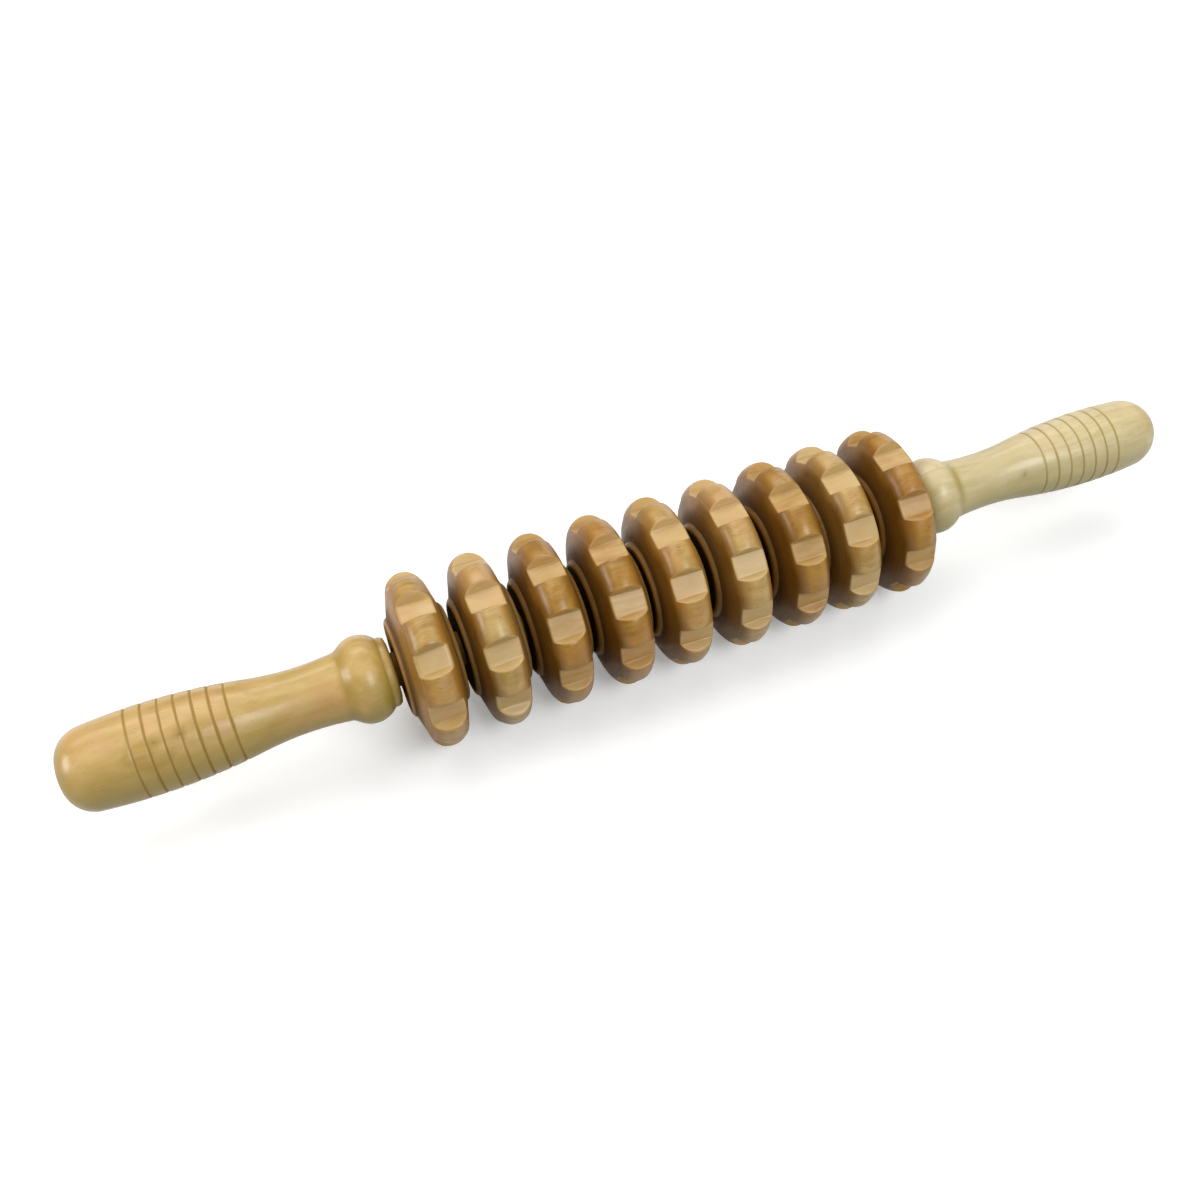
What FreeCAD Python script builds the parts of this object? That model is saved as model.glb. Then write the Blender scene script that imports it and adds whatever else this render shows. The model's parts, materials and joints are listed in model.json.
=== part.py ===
import FreeCAD, Part
import math
import os
import Sketcher

# Massage roller of turned wood, in millimetres.
# Frame: X runs along the axle from the left handle to the right one, Z is up, and the origin is
# the middle of the overall length, on the axle's axis.

WHEELS = 9

document = FreeCAD.newDocument("massage_roller")

# ---------------------------------------------------------------- driving dimensions

DIMENSIONS = [
    ("total_length", 415.4, "tip to tip"),
    ("dowel_radius", 6.0, "axle dowel"),
    ("dowel_chamfer", 0.8, "lead-in on both ends of the dowel"),
    ("socket_depth", 26.0, "blind bore in each handle"),
    ("glue_space", 1.0, "room left beyond each end of the dowel"),
    # wheels
    ("wheel_radius", 31.0, "crown of a tooth"),
    ("wheel_width", 20.2, "hub face to hub face"),
    ("wheel_bore", 6.08, "bore radius, a running fit on the dowel"),
    ("crown_radius", 6.7, "rounding across the rim"),
    ("flank_lean", 15.0, "degrees that a flank leans out towards the hub"),
    ("hub_radius", 17.5, "boss that spaces a wheel from the next"),
    ("hub_fillet", 0.4, "hollow between flank and boss"),
    ("hub_edge_width", 0.95, "part of the boss's width that its rounded edge takes"),
    ("hub_edge_drop", 1.7, "how far that edge falls to the flat face"),
    ("notch_count", 9.0, "notches round a rim"),
    ("notch_floor", 7.3, "width of a notch's flat floor round the rim"),
    ("notch_depth", 3.8, "crown to floor"),
    ("notch_flare", 27.0, "degrees that each notch wall leans back"),
    # handles, measured from the tip of each
    ("left_length", 111.1, "tip to inner face"),
    ("left_tip_rounding", 10.5, "rounded edge of the blunt tip"),
    ("left_bulb_radius", 15.35, "thickest part of the grip"),
    ("left_bulb_at", 29.6, ""),
    ("left_neck_radius", 11.2, "waist between grip and bead"),
    ("left_neck_at", 79.9, ""),
    ("left_bead_at", 101.1, "middle of the bead"),
    ("left_first_ring", 25.1, "grip ring nearest the tip"),
    ("left_ring_pitch", 5.3, ""),
    ("left_end_radius", 10.0, "outer radius at the inner face"),
    ("right_length", 106.1, "tip to inner face"),
    ("right_tip_rounding", 12.0, "rounded edge of the blunt tip"),
    ("right_bulb_radius", 13.9, "thickest part of the grip"),
    ("right_bulb_at", 28.5, ""),
    ("right_neck_radius", 10.2, "waist between grip and bead"),
    ("right_neck_at", 75.2, ""),
    ("right_bead_at", 96.2, "middle of the bead"),
    ("right_first_ring", 22.85, "grip ring nearest the tip"),
    ("right_ring_pitch", 5.13, ""),
    ("right_end_radius", 9.3, "outer radius at the inner face"),
    # shared by both handles
    ("bulb_share", 0.667, "part of the two tangent arcs' radii that the bulb takes"),
    ("bead_half_width", 7.0, ""),
    ("bead_height", 3.2, "bead above its two feet"),
    ("end_rounding", 2.3, "small ring beside the inner face"),
    ("ring_half_width", 0.4, "cut grip ring at the surface"),
    ("ring_depth", 0.4, ""),
    # play before each wheel, from the left handle's inner face on
    ("gap_1", 1.5, ""),
    ("gap_2", 2.3, ""),
    ("gap_3", 2.1, ""),
    ("gap_4", 2.1, ""),
    ("gap_5", 1.6, ""),
    ("gap_6", 2.5, ""),
    ("gap_7", 1.8, ""),
    ("gap_8", 0.3, ""),
    ("gap_9", 1.9, ""),
    # how far each loose wheel happens to be turned at rest, in degrees
    ("turn_1", 32.3, ""),
    ("turn_2", 42.1, ""),
    ("turn_3", 37.1, ""),
    ("turn_4", 35.4, ""),
    ("turn_5", 37.7, ""),
    ("turn_6", 36.2, ""),
    ("turn_7", 39.3, ""),
    ("turn_8", 38.6, ""),
    ("turn_9", 33.4, ""),
]
GRIP_RINGS = 7

sheet = document.addObject("Spreadsheet::Sheet", "Sizes")
for row, (alias, number, note) in enumerate(DIMENSIONS, start=1):
    sheet.set("A%d" % row, alias.replace("_", " "))
    sheet.set("B%d" % row, str(number))
    sheet.setAlias("B%d" % row, alias)
    sheet.set("C%d" % row, note)
document.recompute()


class Size:
    """A length that knows its number and the sheet formula that it comes from."""

    def __init__(self, number, formula):
        self.number = number
        self.formula = formula

    @staticmethod
    def of(other):
        return other if isinstance(other, Size) else Size(float(other), repr(float(other)))

    def joined(self, other, sign, number):
        return Size(number, "(%s %s %s)" % (self.formula, sign, other.formula))

    def __add__(self, other):
        other = Size.of(other)
        return self.joined(other, "+", self.number + other.number)

    def __sub__(self, other):
        other = Size.of(other)
        return self.joined(other, "-", self.number - other.number)

    def __mul__(self, other):
        other = Size.of(other)
        return self.joined(other, "*", self.number * other.number)

    def __truediv__(self, other):
        other = Size.of(other)
        return self.joined(other, "/", self.number / other.number)

    def __neg__(self):
        return Size(-self.number, "(0 - %s)" % self.formula)


def cell(alias):
    return Size(float(sheet.get(alias)), "Sizes.%s" % alias)


def root(size):
    return Size(math.sqrt(size.number), "sqrt(%s)" % size.formula)


def leg(long_side, short_side):
    """Third side of a right triangle."""
    return root(long_side * long_side - short_side * short_side)


def sine(angle):
    return Size(math.sin(math.radians(angle.number)), "sin(%s * 1deg)" % angle.formula)


def cosine(angle):
    return Size(math.cos(math.radians(angle.number)), "cos(%s * 1deg)" % angle.formula)


def tangent(angle):
    return Size(math.tan(math.radians(angle.number)), "tan(%s * 1deg)" % angle.formula)


ZERO = Size(0.0, "0")

# ---------------------------------------------------------------- sketching


def new_body(name):
    body = document.addObject("PartDesign::Body", name)
    body.Label = name
    return body


def new_sketch(body, name, role):
    sketch = body.newObject("Sketcher::SketchObject", name)
    plane = [feature for feature in body.Origin.OriginFeatures if feature.Role == role][0]
    sketch.AttachmentSupport = (plane, "")
    sketch.MapMode = "FlatFace"
    return sketch


def bind(sketch, kind, geometry, end, size):
    """Hold a point's distance from an axis of the sketch at a size."""
    if size is ZERO:
        axis = -2 if kind == "DistanceX" else -1
        sketch.addConstraint(Sketcher.Constraint("PointOnObject", geometry, end, axis))
        return
    constraint = Sketcher.Constraint(kind, -1, 1, geometry, end, size.number)
    index = sketch.addConstraint(constraint)
    sketch.setExpression("Constraints[%d]" % index, size.formula)


def arc_between(start, end, radius):
    """Arc of a positive radius bulging left of the way from start to end, or hollow if negative."""
    chord = end - start
    middle = (start + end) * 0.5
    side = FreeCAD.Vector(chord.y, -chord.x, 0).normalize()
    reach = math.sqrt(radius * radius - chord.Length * chord.Length / 4)
    centre = middle + side * math.copysign(reach, radius)
    angles = [math.atan2(point.y - centre.y, point.x - centre.x) for point in (start, end)]
    if radius > 0:
        angles.reverse()
    circle = Part.Circle(centre, FreeCAD.Vector(0, 0, 1), abs(radius))
    return Part.ArcOfCircle(circle, angles[0], angles[1])


def draw_outline(sketch, corners, bows):
    """Draw a closed outline: the run after corner i is straight, or an arc of radius bows[i]."""
    points = [FreeCAD.Vector(x.number, y.number, 0) for x, y in corners]
    starts = []
    ends = []
    for i, point in enumerate(points):
        following = points[(i + 1) % len(points)]
        if i in bows:
            bow, direction = bows[i]
            curve = arc_between(point, following, direction * bow.number)
            geometry = sketch.addGeometry(curve, False)
            # an arc runs anticlockwise, so one that bulges outwards is stored end first
            starts.append((geometry, 2 if direction > 0 else 1))
            ends.append((geometry, 1 if direction > 0 else 2))
        else:
            geometry = sketch.addGeometry(Part.LineSegment(point, following), False)
            starts.append((geometry, 1))
            ends.append((geometry, 2))
    for i in range(len(points)):
        before = ends[i - 1]
        sketch.addConstraint(Sketcher.Constraint("Coincident", *before, *starts[i]))
    for (geometry, end), (x, y) in zip(starts, corners):
        bind(sketch, "DistanceX", geometry, end, x)
        bind(sketch, "DistanceY", geometry, end, y)
    for i, (bow, direction) in bows.items():
        index = sketch.addConstraint(Sketcher.Constraint("Radius", starts[i][0], bow.number))
        sketch.setExpression("Constraints[%d]" % index, bow.formula)


def spin(body, kind, name, sketch):
    """Turn a sketch a full circle round the X axis, to add or to cut."""
    feature = body.newObject(kind, name)
    feature.Profile = sketch
    feature.ReferenceAxis = (sketch, ["H_Axis"])
    feature.Angle = 360
    return feature


def volume_of(feature):
    document.recompute()
    return feature.Shape.Volume


def must_shrink(before, after, name):
    if after >= before - 1.0:
        raise RuntimeError("%s removed nothing" % name)


# ---------------------------------------------------------------- handles

OUTWARD = 1
HOLLOW = -1


def make_handle(side):
    """Turned handle along +X from its tip, with a blind socket in its inner face."""
    length = cell(side + "_length")
    tip_rounding = cell(side + "_tip_rounding")
    bulb_radius = cell(side + "_bulb_radius")
    bulb_at = cell(side + "_bulb_at")
    neck_radius = cell(side + "_neck_radius")
    neck_at = cell(side + "_neck_at")
    bead_at = cell(side + "_bead_at")
    socket_end = length - cell("socket_depth")
    bore = cell("dowel_radius")

    # two tangent arcs lead from the thickest part of the grip to the waist
    run = neck_at - bulb_at
    fall = bulb_radius - neck_radius
    both_radii = (run * run + fall * fall) / (fall * 2)
    bulb_arc = both_radii * cell("bulb_share")
    neck_arc = both_radii - bulb_arc
    bulb_centre = bulb_radius - bulb_arc
    change_x = bulb_at + run * cell("bulb_share")
    change_r = bulb_radius - fall * cell("bulb_share")

    # the tip's rounding meets the bulb without a corner
    inner_reach = bulb_arc - tip_rounding
    tip_flat = bulb_centre + leg(inner_reach, bulb_at - tip_rounding)
    stretch = bulb_arc / inner_reach
    tip_end_x = bulb_at - (bulb_at - tip_rounding) * stretch
    tip_end_r = bulb_centre + (tip_flat - bulb_centre) * stretch

    # the bead stands on the neck, and a small ring follows it
    foot_x = bead_at - cell("bead_half_width")
    foot_r = neck_radius + neck_arc - leg(neck_arc, foot_x - neck_at)
    groove_x = bead_at + cell("bead_half_width")
    half = cell("bead_half_width")
    height = cell("bead_height")
    bead_arc = (half * half + height * height) / (height * 2)

    body = new_body(side + "_handle")
    profile = new_sketch(body, side + "_handle_profile", "XZ_Plane")
    corners = [
        (ZERO, ZERO),
        (ZERO, tip_flat),
        (tip_end_x, tip_end_r),
        (change_x, change_r),
        (foot_x, foot_r),
        (groove_x, foot_r),
        (length, cell(side + "_end_radius")),
        (length, bore),
        (socket_end, bore),
        (socket_end, ZERO),
    ]
    bows = {
        1: (tip_rounding, OUTWARD),
        2: (bulb_arc, OUTWARD),
        3: (neck_arc, HOLLOW),
        4: (bead_arc, OUTWARD),
        5: (cell("end_rounding"), OUTWARD),
    }
    draw_outline(profile, corners, bows)
    turned = spin(body, "PartDesign::Revolution", side + "_handle_turning", profile)
    plain_volume = volume_of(turned)

    # V-shaped grip rings, each cut from the bulb's own surface
    rings = new_sketch(body, side + "_grip_rings", "XZ_Plane")
    half_width = cell("ring_half_width")
    depth = cell("ring_depth")
    for number in range(GRIP_RINGS):
        middle = cell(side + "_first_ring") + cell(side + "_ring_pitch") * number
        surface = bulb_centre + leg(bulb_arc, middle - bulb_at)
        mouth = surface + depth
        triangle = [
            (middle - half_width * 2, mouth),
            (middle + half_width * 2, mouth),
            (middle, surface - depth),
        ]
        draw_outline(rings, triangle, {})
    grooved = spin(body, "PartDesign::Groove", side + "_ring_cuts", rings)
    must_shrink(plain_volume, volume_of(grooved), grooved.Name)
    return body


# ---------------------------------------------------------------- axle


def make_dowel():
    """Plain dowel, centred on its own origin."""
    length = cell("total_length") - cell("left_length") - cell("right_length")
    length = length + (cell("socket_depth") - cell("glue_space")) * 2
    body = new_body("axle_dowel")
    sketch = new_sketch(body, "dowel_section", "YZ_Plane")
    circle = Part.Circle(FreeCAD.Vector(), FreeCAD.Vector(0, 0, 1), cell("dowel_radius").number)
    geometry = sketch.addGeometry(circle, False)
    sketch.addConstraint(Sketcher.Constraint("Coincident", geometry, 3, -1, 1))
    index = sketch.addConstraint(Sketcher.Constraint("Radius", geometry, circle.Radius))
    sketch.setExpression("Constraints[%d]" % index, cell("dowel_radius").formula)
    pad = body.newObject("PartDesign::Pad", "dowel_length")
    pad.Profile = sketch
    pad.Midplane = True
    pad.setExpression("Length", length.formula)
    document.recompute()
    rims = [
        "Edge%d" % number
        for number, edge in enumerate(pad.Shape.Edges, start=1)
        if isinstance(edge.Curve, Part.Circle)
    ]
    chamfer = body.newObject("PartDesign::Chamfer", "dowel_lead_in")
    chamfer.Base = (pad, rims)
    chamfer.setExpression("Size", cell("dowel_chamfer").formula)
    return body


# ---------------------------------------------------------------- wheels


def wheel_outline():
    """Section of a wheel through its bore, from the left hub face over the rim to the right one."""
    half_width = cell("wheel_width") / 2
    bore = cell("wheel_bore")
    hub = cell("hub_radius")
    lean = cell("flank_lean")
    crown = cell("crown_radius")
    edge_width = cell("hub_edge_width")
    edge_drop = cell("hub_edge_drop")
    crown_centre = cell("wheel_radius") - crown
    shoulder_x = crown * cosine(lean)
    shoulder_r = crown_centre + crown * sine(lean)
    flank_foot = shoulder_x + (shoulder_r - hub) * tangent(lean)
    fillet_run = cell("hub_fillet") * tangent((Size.of(90) - lean) / 2)
    # an arc that meets the flat face without a corner
    edge_radius = (edge_width * edge_width + edge_drop * edge_drop) / (edge_width * 2)
    right = [
        (shoulder_x, shoulder_r),
        (flank_foot - fillet_run * sine(lean), hub + fillet_run * cosine(lean)),
        (flank_foot + fillet_run, hub),
        (half_width - edge_width, hub),
        (half_width, hub - edge_drop),
        (half_width, bore),
    ]
    left = [(-x, r) for x, r in reversed(right)]
    bows = {
        1: (edge_radius, OUTWARD),
        3: (cell("hub_fillet"), HOLLOW),
        5: (crown, OUTWARD),
        7: (cell("hub_fillet"), HOLLOW),
        9: (edge_radius, OUTWARD),
    }
    return left + right, bows


def make_wheel(number):
    """Notched massage wheel about X, centred on its own origin, with a notch straight up."""
    name = "wheel_%d" % number
    body = new_body(name)
    section = new_sketch(body, name + "_section", "XZ_Plane")
    corners, bows = wheel_outline()
    draw_outline(section, corners, bows)
    turned = spin(body, "PartDesign::Revolution", name + "_turning", section)
    plain_volume = volume_of(turned)

    notch = new_sketch(body, name + "_notch_shape", "YZ_Plane")
    floor = cell("wheel_radius") - cell("notch_depth")
    mouth = cell("wheel_radius") + cell("notch_depth")
    half_floor = cell("notch_floor") / 2
    half_mouth = half_floor + (mouth - floor) * tangent(cell("notch_flare"))
    trapezium = [
        (-half_floor, floor),
        (-half_mouth, mouth),
        (half_mouth, mouth),
        (half_floor, floor),
    ]
    draw_outline(notch, trapezium, {})
    pocket = body.newObject("PartDesign::Pocket", name + "_notch")
    pocket.Profile = notch
    pocket.Midplane = True
    pocket.setExpression("Length", cell("wheel_width").formula)
    one_cut = volume_of(pocket)
    must_shrink(plain_volume, one_cut, pocket.Name)

    pattern = body.newObject("PartDesign::PolarPattern", name + "_notches")
    pattern.Originals = [pocket]
    pattern.Axis = (section, ["H_Axis"])
    pattern.Angle = 360
    pattern.setExpression("Occurrences", cell("notch_count").formula)
    body.Tip = pattern
    must_shrink(one_cut, volume_of(pattern), pattern.Name)
    return body


# ---------------------------------------------------------------- assembly

left_tip = -cell("total_length") / 2
right_tip = cell("total_length") / 2

left_handle = make_handle("left")
left_handle.setExpression(".Placement.Base.x", left_tip.formula)

right_handle = make_handle("right")
right_handle.Placement = FreeCAD.Placement(
    FreeCAD.Vector(), FreeCAD.Rotation(FreeCAD.Vector(0, 0, 1), 180)
)
right_handle.setExpression(".Placement.Base.x", right_tip.formula)

axle_dowel = make_dowel()
dowel_middle = (cell("left_length") - cell("right_length")) / 2
axle_dowel.setExpression(".Placement.Base.x", dowel_middle.formula)

bodies = [left_handle, right_handle, axle_dowel]
hub_face = left_tip + cell("left_length")
for number in range(1, WHEELS + 1):
    hub_face = hub_face + cell("gap_%d" % number)
    centre = hub_face + cell("wheel_width") / 2
    turn = cell("turn_%d" % number)
    wheel = make_wheel(number)
    wheel.Placement = FreeCAD.Placement(
        FreeCAD.Vector(), FreeCAD.Rotation(FreeCAD.Vector(1, 0, 0), turn.number)
    )
    wheel.setExpression(".Placement.Base.x", centre.formula)
    wheel.setExpression(".Placement.Rotation.Angle", "%s * 1deg" % turn.formula)
    bodies.append(wheel)
    hub_face = hub_face + cell("wheel_width")

document.recompute()

# ---------------------------------------------------------------- checks and output

for item in document.Objects:
    if "Invalid" in item.State or "Error" in item.State:
        raise RuntimeError("%s did not build: %s" % (item.Name, item.State))

os.makedirs("parts", exist_ok=True)
for body in bodies:
    shape = body.Shape
    if shape.isNull() or not shape.isValid() or len(shape.Solids) != 1:
        raise RuntimeError("%s is not one sound solid" % body.Label)
    box = shape.optimalBoundingBox(False, False)
    print("%-13s x %8.2f .. %8.2f  radius %6.2f  volume %9.1f" % (
        body.Label, box.XMin, box.XMax, box.ZMax, shape.Volume))
    shape.exportStep("parts/%s.step" % body.Label)
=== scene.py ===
"""Looks of a massage roller in turned wood: nine notched wheels on a dowel between two handles.

Lengths are in metres unless a name ends in _MM, and angles in radians unless it ends in _DEG. X runs
along the axle and Z is up.
"""

import json
import math

import bpy
import numpy as np
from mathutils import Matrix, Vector


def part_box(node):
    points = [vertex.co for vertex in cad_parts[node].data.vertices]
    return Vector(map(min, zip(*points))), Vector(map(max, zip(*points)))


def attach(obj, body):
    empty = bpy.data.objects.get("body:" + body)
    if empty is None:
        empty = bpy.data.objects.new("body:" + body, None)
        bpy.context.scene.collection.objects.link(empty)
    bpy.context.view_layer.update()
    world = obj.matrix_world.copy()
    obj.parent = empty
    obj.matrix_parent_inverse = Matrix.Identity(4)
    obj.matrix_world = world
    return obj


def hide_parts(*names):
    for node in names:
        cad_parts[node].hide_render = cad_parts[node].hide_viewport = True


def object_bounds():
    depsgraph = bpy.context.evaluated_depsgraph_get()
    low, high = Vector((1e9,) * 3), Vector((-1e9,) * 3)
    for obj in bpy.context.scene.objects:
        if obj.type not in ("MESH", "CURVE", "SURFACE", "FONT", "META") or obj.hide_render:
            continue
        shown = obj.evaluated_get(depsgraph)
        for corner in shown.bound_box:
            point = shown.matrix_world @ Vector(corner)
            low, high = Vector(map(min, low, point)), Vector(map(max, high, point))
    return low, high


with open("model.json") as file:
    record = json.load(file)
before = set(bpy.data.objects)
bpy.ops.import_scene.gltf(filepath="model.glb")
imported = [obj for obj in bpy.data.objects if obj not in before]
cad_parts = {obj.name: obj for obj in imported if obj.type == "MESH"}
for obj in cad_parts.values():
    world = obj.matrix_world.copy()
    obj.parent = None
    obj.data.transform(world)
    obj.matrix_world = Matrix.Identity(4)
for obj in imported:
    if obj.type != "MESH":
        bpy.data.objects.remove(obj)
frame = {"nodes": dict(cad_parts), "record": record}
cad_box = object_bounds()

MM = 0.001
SEED = 41
WHEELS = range(1, 10)

# ---------------------------------------------------------------- sizes shared with the CAD parts

DOWEL_RADIUS = 6.0 * MM
SOCKET_DEPTH = 26.0 * MM

WHEEL_RADIUS = 31.0 * MM
WHEEL_BORE = 6.08 * MM
CROWN_RADIUS = 6.7 * MM
FLANK_LEAN = math.radians(15.0)
HUB_RADIUS = 17.5 * MM
HUB_FILLET = 0.4 * MM
HUB_EDGE_WIDTH = 0.95 * MM
HUB_EDGE_DROP = 1.7 * MM
NOTCHES = 9
NOTCH_HALF_FLOOR = 3.65 * MM
NOTCH_DEPTH = 3.8 * MM
NOTCH_FLARE = math.radians(27.0)

BULB_SHARE = 0.667
BEAD_HALF_WIDTH = 7.0 * MM
BEAD_HEIGHT = 3.2 * MM
END_ROUNDING = 2.3 * MM
RINGS = 7
RING_HALF_WIDTH = 0.4 * MM
RING_DEPTH = 0.22 * MM

HANDLES = {
    "left_handle": {
        "tip_rounding": 10.5 * MM,
        "bulb_radius": 15.35 * MM,
        "bulb_at": 29.6 * MM,
        "neck_radius": 11.2 * MM,
        "neck_at": 79.9 * MM,
        "bead_at": 101.1 * MM,
        "first_ring": 25.1 * MM,
        "ring_pitch": 5.3 * MM,
        "end_radius": 10.0 * MM,
        "knots": [(40.8 * MM, 15.2 * MM, 116.5, 1.0), (32.3 * MM, 15.3 * MM, 117.0, 0.45)],
    },
    "right_handle": {
        "tip_rounding": 12.0 * MM,
        "bulb_radius": 13.9 * MM,
        "bulb_at": 28.5 * MM,
        "neck_radius": 10.2 * MM,
        "neck_at": 75.2 * MM,
        "bead_at": 96.2 * MM,
        "first_ring": 22.85 * MM,
        "ring_pitch": 5.13 * MM,
        "end_radius": 9.3 * MM,
        "knots": [(62.1 * MM, 11.3 * MM, 139.8, 0.35)],
    },
}

# ---------------------------------------------------------------- mesh helpers

RIPPLE_SLOPE = 90


def soft_min(a, b, blend):
    """Smaller of two heights, with the corner between them rounded over a blend height."""
    share = np.clip(0.5 + 0.5 * (b - a) / blend, 0, 1)
    return b * (1 - share) + a * share - blend * share * (1 - share)


def soft_max(a, b, blend):
    return -soft_min(-a, -b, blend)


def smooth_step(low, high, value):
    t = np.clip((value - low) / (high - low), 0, 1)
    return t * t * (3 - 2 * t)


def ripple(rng, angle, along, count, highest):
    """Smooth random field, mostly between -1 and 1, over an angle and a place along the axle."""
    field = np.zeros(np.broadcast(angle, along).shape)
    for _ in range(count):
        turns = rng.integers(0, highest + 1)
        slope = rng.uniform(-RIPPLE_SLOPE, RIPPLE_SLOPE)
        phase = rng.uniform(0, 2 * math.pi)
        field += np.sin(turns * angle + slope * along + phase)
    return field / math.sqrt(count)


def tube_mesh(name, x, radius, angle, marks, ends_closed, bare_rows):
    """Closed mesh round X from grids of x and radius, one row per station and one column per angle.

    marks are named per-vertex values. With ends_closed, a centre point closes each end;
    otherwise the last row joins the first, as round a bored wheel. Faces between two bare rows
    take the second material, the others the first.
    """
    rows, columns = x.shape
    grid = np.stack([x, radius * np.cos(angle), radius * np.sin(angle)], axis=-1).reshape(-1, 3)
    index = np.arange(rows * columns).reshape(rows, columns)
    if ends_closed:
        upper, lower, next_bare = index[:-1], index[1:], bare_rows[1:]
    else:
        upper, lower, next_bare = index, np.roll(index, -1, axis=0), np.roll(bare_rows, -1)
    quads = np.stack([upper, np.roll(upper, -1, 1), np.roll(lower, -1, 1), lower], axis=-1)
    faces = [tuple(face) for face in quads.reshape(-1, 4).tolist()]
    slots = list(np.repeat(bare_rows[:len(next_bare)] & next_bare, columns))
    points = grid.tolist()
    values = {key: list(grid_values.reshape(-1)) for key, grid_values in marks.items()}
    if ends_closed:
        for end, flip in ((0, False), (-1, True)):
            row = index[end]
            centre = len(points)
            slots += [bare_rows[end]] * columns
            points.append([float(x.reshape(-1)[row[0]]), 0.0, 0.0])
            for column in values.values():
                column.append(0.0)
            for a, b in zip(row.tolist(), np.roll(row, -1).tolist()):
                faces.append((centre, a, b) if flip else (centre, b, a))
    mesh = bpy.data.meshes.new(name)
    mesh.from_pydata(points, [], faces)
    mesh.polygons.foreach_set("material_index", np.array(slots, dtype=np.int32))
    for key, column in values.items():
        attribute = mesh.attributes.new(key, "FLOAT", "POINT")
        attribute.data.foreach_set("value", np.array(column, dtype=np.float32))
    mesh.polygons.foreach_set("use_smooth", [True] * len(mesh.polygons))
    mesh.update()
    piece = bpy.data.objects.new(name, mesh)
    bpy.context.scene.collection.objects.link(piece)
    return piece


def turn_outward(piece):
    """Make every face normal point out of the closed mesh."""
    mesh = piece.data
    mesh.calc_loop_triangles()
    corners = np.empty(len(mesh.loop_triangles) * 3, dtype=np.int32)
    mesh.loop_triangles.foreach_get("vertices", corners)
    points = np.empty(len(mesh.vertices) * 3)
    mesh.vertices.foreach_get("co", points)
    a, b, c = points.reshape(-1, 3)[corners.reshape(-1, 3)].transpose(1, 0, 2)
    if np.einsum("ij,ij->i", a, np.cross(b, c)).sum() < 0:
        mesh.flip_normals()


def finish_piece(piece, materials):
    turn_outward(piece)
    for material in materials:
        piece.data.materials.append(material)


def arc_points(centre, radius, start, end, count):
    angles = np.linspace(start, end, count)
    return [(centre[0] + radius * math.cos(t), centre[1] + radius * math.sin(t)) for t in angles]


def bowed_points(start, end, radius, count):
    """Points on an arc from start to end that bulges away from the axle."""
    half = Vector((end[0] - start[0], end[1] - start[1])) / 2
    outward = Vector((-half.y, half.x)).normalized()
    outward = -outward if outward.y < 0 else outward
    centre = Vector(start) + half - outward * math.sqrt(radius ** 2 - half.length_squared)
    first = math.atan2(start[1] - centre.y, start[0] - centre.x)
    last = math.atan2(end[1] - centre.y, end[0] - centre.x)
    return arc_points(centre, radius, first, last, count)


def run_points(start, end, count):
    """Evenly spaced points from start to end, leaving out the end itself."""
    share = np.arange(count) / count
    return [(start[0] + (end[0] - start[0]) * t, start[1] + (end[1] - start[1]) * t) for t in share]


# ---------------------------------------------------------------- handles

HANDLE_COLUMNS = 160
GROOVE_SOFTENING = 0.14 * MM
CREASE_SOFTENING = 1.1 * MM
HAND_TURNED = 0.05 * MM
TIP_ROWS = 34
BODY_STEP = 0.9 * MM
BEAD_STEP = 0.28 * MM
RING_ROWS = 13
RING_REACH = 2.2
RING_FLANK = 1.35
RING_DRIFT_MM = 0.12
RING_WIDTH_VARIES = (0.85, 1.2)
RING_DEPTH_VARIES = (0.85, 1.1)
RING_UNEVENNESS = 0.12
# painted shade in the creases at the bead's feet
CREASE_SHADE_STRENGTH = 1.5
OUTER_CREASE_SHADE_WIDTH = 1.7 * MM
INNER_CREASE_SHADE_WIDTH = 0.8 * MM


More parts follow.
